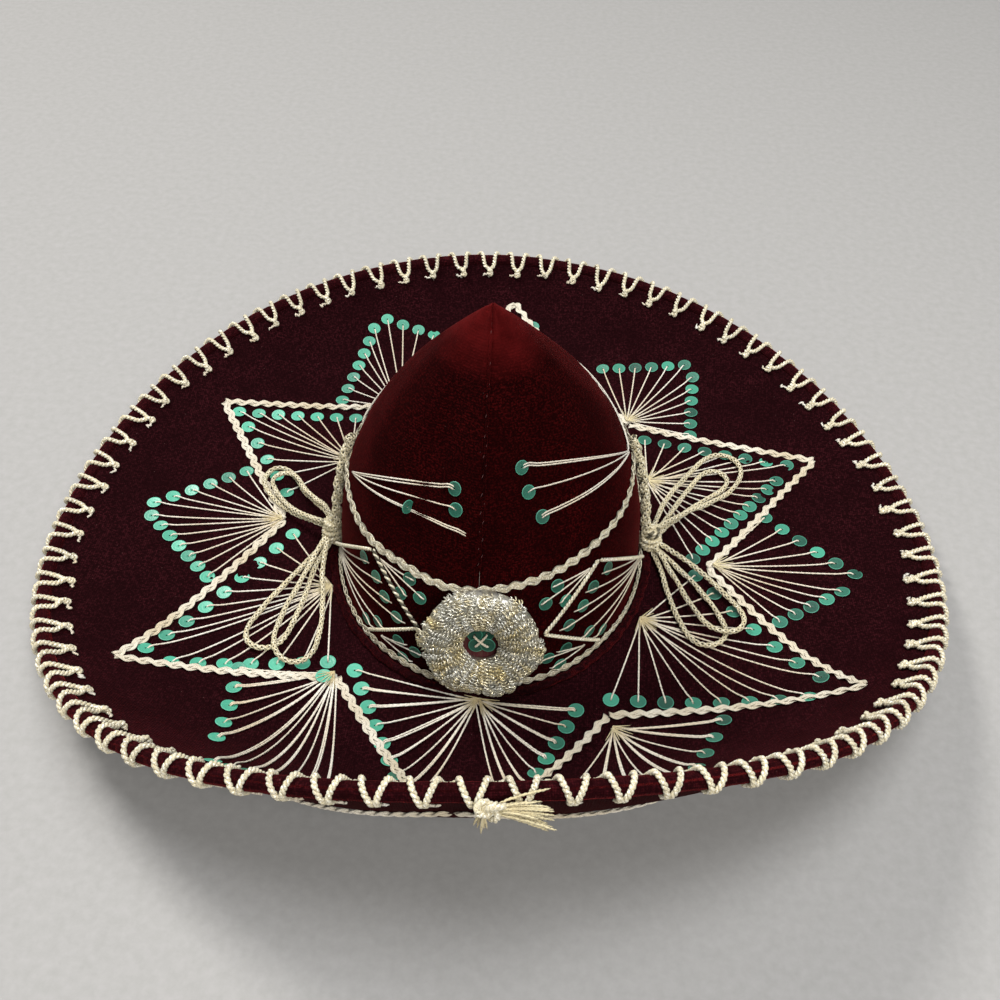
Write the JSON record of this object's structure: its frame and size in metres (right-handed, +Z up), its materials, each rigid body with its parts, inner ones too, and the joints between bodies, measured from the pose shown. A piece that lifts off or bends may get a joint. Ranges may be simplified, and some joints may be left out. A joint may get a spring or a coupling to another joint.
{
  "type": "sombrero",
  "caption": "Wide-brimmed velvet sombrero with a tall crown, curled brim, laced rim roll, star of braid, sequin thread fans, cord bows and a bullion rosette.",
  "frame": {"origin": "middle of the head opening, on the plane that the brim rests on", "axes": "+Z up through the crown; -Y is the hat's front, with the rosette; +X is to the right seen from in front"},
  "size_m": [0.5356, 0.5263, 0.1934],
  "materials": {
    "velvet": "dark burgundy pile, worn thin in places",
    "board": "pasteboard and felt",
    "cotton": "loose cotton cord",
    "lining": "thin satin cloth",
    "sweatband": "smooth dark band",
    "backing": "felt",
    "bullion": "metallic silver and gold coils",
    "sequin": "green, pearly, slightly clear",
    "thread": "cream twisted thread",
    "lacing": "cream and gold metallic twist",
    "rope": "cream and gold braided cord",
    "braid": "cream and silver wavy braid"
  },
  "bodies": {
    "root": {"band_lower_cord": "braid", "band_rope_left": "braid", "band_rope_right": "braid", "band_sequins_left": "sequin", "band_sequins_right": "sequin", "band_threads_left": "thread", "band_threads_right": "thread", "band_upper_cord": "braid", "bow_bundle_left": "rope", "bow_bundle_right": "rope", "bow_knot_left": "rope", "bow_knot_right": "rope", "bow_loop_left_lower_inner": "rope", "bow_loop_left_lower_outer": "rope", "bow_loop_left_upper_over": "rope", "bow_loop_left_upper_under": "rope", "bow_loop_right_lower_inner": "rope", "bow_loop_right_lower_outer": "rope", "bow_loop_right_upper_inner": "rope", "bow_loop_right_upper_outer": "rope", "brim_board": "board", "brim_top_velvet": "velvet", "brim_under_velvet": "velvet", "crown_fan_sequins_left": "sequin", "crown_fan_sequins_right": "sequin", "crown_fan_threads_left": "thread", "crown_fan_threads_right": "thread", "crown_lining": "lining", "crown_seam_front": "velvet", "crown_seam_rear": "velvet", "crown_shell": "board", "crown_velvet_left": "velvet", "crown_velvet_right": "velvet", "foot_welt": "velvet", "rim_filler_cord": "cotton", "rim_lacing_cord": "lacing", "rim_lacing_knot": "lacing", "rim_velvet_roll": "velvet", "rosette_backing": "backing", "rosette_ring": "bullion", "rosette_sequins": "sequin", "rosette_stitches": "thread", "star_braid": "braid", "sweatband": "sweatband", "tip_fan_sequins": "sequin", "tip_fan_threads_1": "thread", "tip_fan_threads_2": "thread", "tip_fan_threads_3": "thread", "tip_fan_threads_4": "thread", "tip_fan_threads_5": "thread", "tip_fan_threads_6": "thread", "under_braid": "braid", "valley_fan_sequins": "sequin", "valley_fan_threads_1": "thread", "valley_fan_threads_2": "thread", "valley_fan_threads_3": "thread", "valley_fan_threads_4": "thread", "valley_fan_threads_5": "thread", "valley_fan_threads_6": "thread"}
  },
  "joints": []
}
